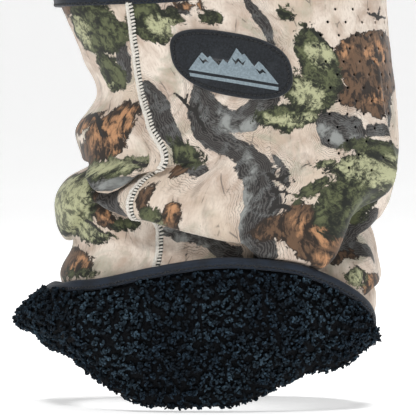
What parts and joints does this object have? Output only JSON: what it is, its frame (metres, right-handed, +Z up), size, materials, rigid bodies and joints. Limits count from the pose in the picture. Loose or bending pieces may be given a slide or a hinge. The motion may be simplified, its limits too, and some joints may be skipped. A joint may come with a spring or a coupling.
{
  "type": "neck gaiter",
  "caption": "Fleece-lined camouflage neck gaiter: printed stretch tube with a punched breathing zone, oval patch, bound edges and the lower edge turned up.",
  "frame": {"origin": "on the resting plane, in X and Y at the middle of the bounding box", "axes": "+Z up the tube, +X towards the wearer's face and the punched breathing zone, -Y towards the side with the patch and the turned-up fleece"},
  "size_m": [0.2292, 0.151, 0.2812],
  "materials": {
    "camo_front": "matte",
    "camo_back": "matte",
    "sherpa_front": "matte",
    "sherpa_back": "matte",
    "face_binding_tape": "matte",
    "face_thread": "matte",
    "hem_binding_tape": "matte",
    "hem_thread": "matte",
    "seam_thread_right": "matte",
    "seam_thread_left": "matte",
    "patch_suede": "matte",
    "patch_thread": "matte",
    "emblem_ink": "matte"
  },
  "bodies": {
    "root": {"shell_front_panel": "camo_front", "shell_back_panel": "camo_back", "lining_front_panel": "sherpa_front", "lining_back_panel": "sherpa_back", "face_edge_binding": "face_binding_tape", "face_binding_stitching": "face_thread", "hem_binding": "hem_binding_tape", "hem_binding_stitching": "hem_thread", "seam_stitching_right": "seam_thread_right", "seam_stitching_left": "seam_thread_left", "patch_base": "patch_suede", "patch_stitching": "patch_thread", "patch_emblem": "emblem_ink"}
  },
  "joints": []
}
